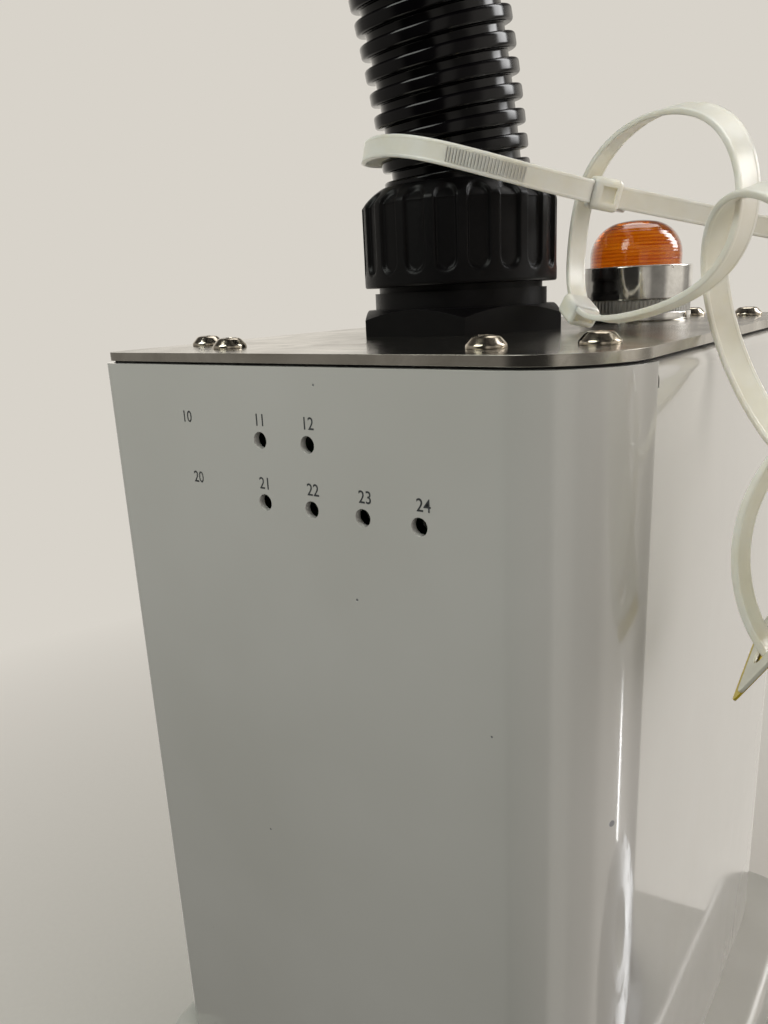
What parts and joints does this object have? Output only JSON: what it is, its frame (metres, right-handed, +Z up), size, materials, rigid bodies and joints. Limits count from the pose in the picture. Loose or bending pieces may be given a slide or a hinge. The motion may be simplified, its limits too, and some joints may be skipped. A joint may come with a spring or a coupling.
{
  "type": "scara robot base unit",
  "caption": "Base unit of a small SCARA robot: cast foot with shoulder bearing flange, sheet metal tower, indicator holes, cable gland with corrugated duct, amber lamp and nylon ties.",
  "frame": {"origin": "centre of the foot's bolt pattern, on the mounting face", "axes": "+X forward to the side where the first arm is carried, +Z up, +Y to the left of the arm side"},
  "size_m": [0.31, 0.224, 0.529],
  "materials": {
    "casting_paint": "smooth cast paint",
    "cover_paint": "semi-gloss powder coat",
    "stainless": "brushed",
    "nickel": "polished",
    "bearing_steel": "machined",
    "black_nylon": "satin",
    "duct_nylon": "gloss",
    "seal_rubber": "matte",
    "lamp_chrome": "polished",
    "lamp_amber": "gloss",
    "tie_nylon": "natural nylon",
    "tag_card": "matte",
    "connector_black": "satin",
    "board_green": "satin",
    "led_clear": "gloss",
    "brass": "satin"
  },
  "bodies": {
    "root": {"base_casting": "casting_paint", "shoulder_bearing_ring": "bearing_steel", "shoulder_seal": "seal_rubber", "shoulder_flange": "bearing_steel", "tower_cover": "cover_paint", "cover_screws": "nickel", "plate_brackets": "stainless", "plate_gasket": "seal_rubber", "top_plate": "stainless", "top_plate_screws": "nickel", "rear_panel": "cover_paint", "rear_panel_screws": "nickel", "power_connector": "connector_black", "signal_connector": "connector_black", "earth_stud": "brass", "board_standoffs": "brass", "indicator_board": "board_green", "status_leds": "led_clear", "gland_body": "black_nylon", "gland_locknut": "black_nylon", "gland_clamp_ring": "seal_rubber", "gland_dome_nut": "black_nylon", "duct": "duct_nylon", "duct_end_nut": "black_nylon", "duct_end_clamp_ring": "seal_rubber", "duct_end_body": "black_nylon", "duct_end_seal": "seal_rubber", "lamp_body": "lamp_chrome", "lamp_knurled_ring": "lamp_chrome", "lamp_bezel": "lamp_chrome", "lamp_lens": "lamp_amber", "lamp_nut": "nickel", "ring_tie": "tie_nylon", "duct_tie": "tie_nylon", "front_tie": "tie_nylon", "tag_tie": "tie_nylon", "tag": "tag_card"}
  },
  "joints": []
}
